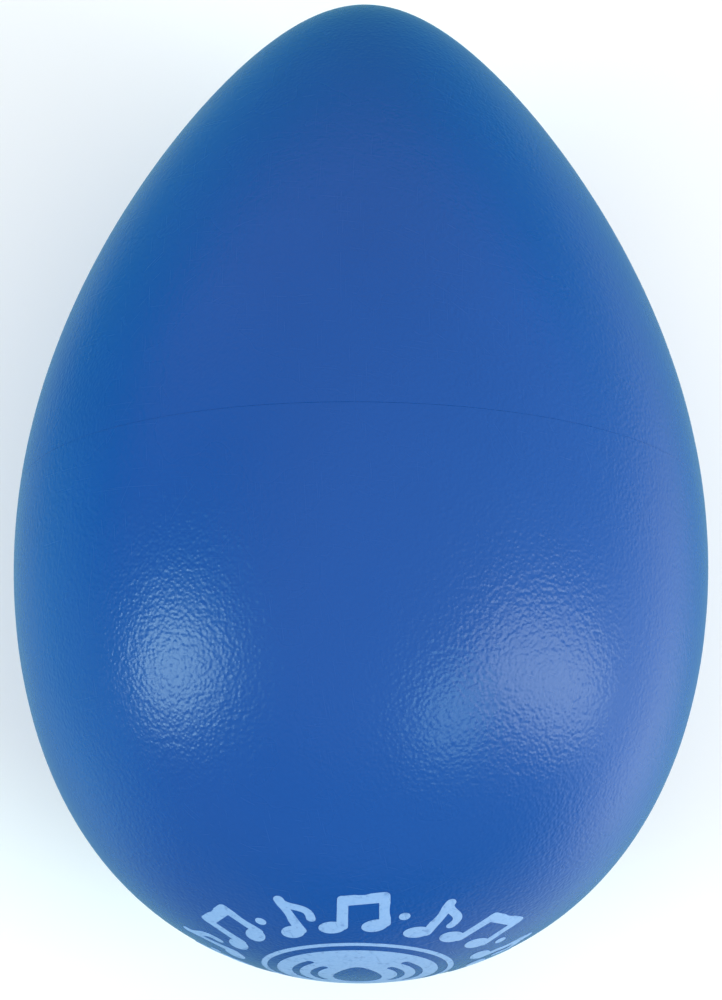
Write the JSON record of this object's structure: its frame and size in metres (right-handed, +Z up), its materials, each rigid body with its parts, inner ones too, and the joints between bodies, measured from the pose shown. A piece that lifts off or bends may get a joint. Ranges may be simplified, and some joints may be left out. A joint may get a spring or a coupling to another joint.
{
  "type": "egg shaker",
  "caption": "Hollow plastic egg in two half shells, part filled with loose steel shot that rattles when the egg is shaken in the hand.",
  "frame": {"origin": "on the table, under the middle of the egg's bounding box", "axes": "+Z up; the egg lies on its side with its long axis along +Y, pointed end toward +Y and tipped 8.6 degrees down, which is how it comes to rest; X across the egg"},
  "size_m": [0.0416, 0.0602, 0.042],
  "materials": {
    "blue_plastic": "royal blue moulded plastic, semi-gloss, very fine orange-peel grain",
    "white_print": "pale pad-printed ink, a little blue showing through",
    "steel_shot": "tumbled bright steel, lightly worn"
  },
  "bodies": {
    "shell": {"blunt_half_shell": "blue_plastic", "pointed_half_shell": "blue_plastic"},
    "shot_01": {"shot_01": "steel_shot"},
    "shot_02": {"shot_02": "steel_shot"},
    "shot_03": {"shot_03": "steel_shot"},
    "shot_04": {"shot_04": "steel_shot"},
    "shot_05": {"shot_05": "steel_shot"},
    "shot_06": {"shot_06": "steel_shot"},
    "shot_07": {"shot_07": "steel_shot"},
    "shot_08": {"shot_08": "steel_shot"},
    "shot_09": {"shot_09": "steel_shot"},
    "shot_10": {"shot_10": "steel_shot"},
    "shot_11": {"shot_11": "steel_shot"},
    "shot_12": {"shot_12": "steel_shot"},
    "shot_13": {"shot_13": "steel_shot"},
    "shot_14": {"shot_14": "steel_shot"},
    "shot_15": {"shot_15": "steel_shot"},
    "shot_16": {"shot_16": "steel_shot"},
    "shot_17": {"shot_17": "steel_shot"},
    "shot_18": {"shot_18": "steel_shot"},
    "shot_19": {"shot_19": "steel_shot"},
    "shot_20": {"shot_20": "steel_shot"},
    "shot_21": {"shot_21": "steel_shot"},
    "shot_22": {"shot_22": "steel_shot"},
    "shot_23": {"shot_23": "steel_shot"},
    "shot_24": {"shot_24": "steel_shot"},
    "shot_25": {"shot_25": "steel_shot"},
    "shot_26": {"shot_26": "steel_shot"},
    "shot_27": {"shot_27": "steel_shot"},
    "shot_28": {"shot_28": "steel_shot"},
    "shot_29": {"shot_29": "steel_shot"},
    "shot_30": {"shot_30": "steel_shot"},
    "shot_31": {"shot_31": "steel_shot"},
    "shot_32": {"shot_32": "steel_shot"},
    "shot_33": {"shot_33": "steel_shot"},
    "shot_34": {"shot_34": "steel_shot"},
    "shot_35": {"shot_35": "steel_shot"},
    "shot_36": {"shot_36": "steel_shot"},
    "shot_37": {"shot_37": "steel_shot"},
    "shot_38": {"shot_38": "steel_shot"},
    "shot_39": {"shot_39": "steel_shot"},
    "shot_40": {"shot_40": "steel_shot"},
    "shot_41": {"shot_41": "steel_shot"},
    "shot_42": {"shot_42": "steel_shot"},
    "shot_43": {"shot_43": "steel_shot"}
  },
  "joints": [
    {"name": "toss_01", "type": "slide", "parent": "shell", "child": "shot_01", "axis": [0.1508, 0.1475, 0.9775], "range_m": [0, 0.02852]},
    {"name": "toss_02", "type": "slide", "parent": "shell", "child": "shot_02", "axis": [-0.1508, 0.1475, 0.9775], "range_m": [0, 0.02852]},
    {"name": "toss_03", "type": "slide", "parent": "shell", "child": "shot_03", "axis": [0.5202, 0.1275, 0.8445], "range_m": [0, 0.03153]},
    {"name": "toss_04", "type": "slide", "parent": "shell", "child": "shot_04", "axis": [0.2702, 0.1437, 0.952], "range_m": [0, 0.03153]},
    {"name": "toss_05", "type": "slide", "parent": "shell", "child": "shot_05", "axis": [0, 0.1492, 0.9888], "range_m": [0, 0.03153]},
    {"name": "toss_06", "type": "slide", "parent": "shell", "child": "shot_06", "axis": [-0.2702, 0.1437, 0.952], "range_m": [0, 0.03153]},
    {"name": "toss_07", "type": "slide", "parent": "shell", "child": "shot_07", "axis": [-0.5202, 0.1275, 0.8445], "range_m": [0, 0.03153]},
    {"name": "toss_08", "type": "slide", "parent": "shell", "child": "shot_08", "axis": [0.6081, 0.1185, 0.785], "range_m": [0, 0.03299]},
    {"name": "toss_09", "type": "slide", "parent": "shell", "child": "shot_09", "axis": [0.3822, 0.1379, 0.9137], "range_m": [0, 0.03299]},
    {"name": "toss_10", "type": "slide", "parent": "shell", "child": "shot_10", "axis": [0.1304, 0.148, 0.9804], "range_m": [0, 0.03299]},
    {"name": "toss_11", "type": "slide", "parent": "shell", "child": "shot_11", "axis": [-0.1304, 0.148, 0.9804], "range_m": [0, 0.03299]},
    {"name": "toss_12", "type": "slide", "parent": "shell", "child": "shot_12", "axis": [-0.3822, 0.1379, 0.9137], "range_m": [0, 0.03299]},
    {"name": "toss_13", "type": "slide", "parent": "shell", "child": "shot_13", "axis": [-0.6081, 0.1185, 0.785], "range_m": [0, 0.03299]},
    {"name": "toss_14", "type": "slide", "parent": "shell", "child": "shot_14", "axis": [0.6041, 0.1189, 0.788], "range_m": [0, 0.03324]},
    {"name": "toss_15", "type": "slide", "parent": "shell", "child": "shot_15", "axis": [0.3794, 0.1381, 0.9149], "range_m": [0, 0.03324]},
    {"name": "toss_16", "type": "slide", "parent": "shell", "child": "shot_16", "axis": [0.1294, 0.148, 0.9805], "range_m": [0, 0.03324]},
    {"name": "toss_17", "type": "slide", "parent": "shell", "child": "shot_17", "axis": [-0.1294, 0.148, 0.9805], "range_m": [0, 0.03324]},
    {"name": "toss_18", "type": "slide", "parent": "shell", "child": "shot_18", "axis": [-0.3794, 0.1381, 0.9149], "range_m": [0, 0.03324]},
    {"name": "toss_19", "type": "slide", "parent": "shell", "child": "shot_19", "axis": [-0.6041, 0.1189, 0.788], "range_m": [0, 0.03324]},
    {"name": "toss_20", "type": "slide", "parent": "shell", "child": "shot_20", "axis": [0.7162, 0.1042, 0.6901], "range_m": [0, 0.03241]},
    {"name": "toss_21", "type": "slide", "parent": "shell", "child": "shot_21", "axis": [0.5074, 0.1286, 0.852], "range_m": [0, 0.03241]},
    {"name": "toss_22", "type": "slide", "parent": "shell", "child": "shot_22", "axis": [0.263, 0.144, 0.954], "range_m": [0, 0.03241]},
    {"name": "toss_23", "type": "slide", "parent": "shell", "child": "shot_23", "axis": [0, 0.1492, 0.9888], "range_m": [0, 0.03241]},
    {"name": "toss_24", "type": "slide", "parent": "shell", "child": "shot_24", "axis": [-0.263, 0.144, 0.954], "range_m": [0, 0.03241]},
    {"name": "toss_25", "type": "slide", "parent": "shell", "child": "shot_25", "axis": [-0.5074, 0.1286, 0.852], "range_m": [0, 0.03241]},
    {"name": "toss_26", "type": "slide", "parent": "shell", "child": "shot_26", "axis": [-0.7162, 0.1042, 0.6901], "range_m": [0, 0.03241]},
    {"name": "toss_27", "type": "slide", "parent": "shell", "child": "shot_27", "axis": [0.6491, 0.1135, 0.7522], "range_m": [0, 0.03054]},
    {"name": "toss_28", "type": "slide", "parent": "shell", "child": "shot_28", "axis": [0.4113, 0.136, 0.9013], "range_m": [0, 0.03054]},
    {"name": "toss_29", "type": "slide", "parent": "shell", "child": "shot_29", "axis": [0.1408, 0.1478, 0.9789], "range_m": [0, 0.03054]},
    {"name": "toss_30", "type": "slide", "parent": "shell", "child": "shot_30", "axis": [-0.1408, 0.1478, 0.9789], "range_m": [0, 0.03054]},
    {"name": "toss_31", "type": "slide", "parent": "shell", "child": "shot_31", "axis": [-0.4113, 0.136, 0.9013], "range_m": [0, 0.03054]},
    {"name": "toss_32", "type": "slide", "parent": "shell", "child": "shot_32", "axis": [-0.6491, 0.1135, 0.7522], "range_m": [0, 0.03054]},
    {"name": "toss_33", "type": "slide", "parent": "shell", "child": "shot_33", "axis": [0.5854, 0.121, 0.8017], "range_m": [0, 0.02762]},
    {"name": "toss_34", "type": "slide", "parent": "shell", "child": "shot_34", "axis": [0.3076, 0.142, 0.9409], "range_m": [0, 0.02762]},
    {"name": "toss_35", "type": "slide", "parent": "shell", "child": "shot_35", "axis": [0, 0.1492, 0.9888], "range_m": [0, 0.02762]},
    {"name": "toss_36", "type": "slide", "parent": "shell", "child": "shot_36", "axis": [-0.3076, 0.142, 0.9409], "range_m": [0, 0.02762]},
    {"name": "toss_37", "type": "slide", "parent": "shell", "child": "shot_37", "axis": [-0.5854, 0.121, 0.8017], "range_m": [0, 0.02762]},
    {"name": "toss_38", "type": "slide", "parent": "shell", "child": "shot_38", "axis": [0.5213, 0.1274, 0.8438], "range_m": [0, 0.02366]},
    {"name": "toss_39", "type": "slide", "parent": "shell", "child": "shot_39", "axis": [0.1818, 0.1468, 0.9723], "range_m": [0, 0.02366]},
    {"name": "toss_40", "type": "slide", "parent": "shell", "child": "shot_40", "axis": [-0.1818, 0.1468, 0.9723], "range_m": [0, 0.02366]},
    {"name": "toss_41", "type": "slide", "parent": "shell", "child": "shot_41", "axis": [-0.5213, 0.1274, 0.8438], "range_m": [0, 0.02366]},
    {"name": "toss_42", "type": "slide", "parent": "shell", "child": "shot_42", "axis": [0.2312, 0.1452, 0.962], "range_m": [0, 0.0186]},
    {"name": "toss_43", "type": "slide", "parent": "shell", "child": "shot_43", "axis": [-0.2312, 0.1452, 0.962], "range_m": [0, 0.0186]}
  ]
}
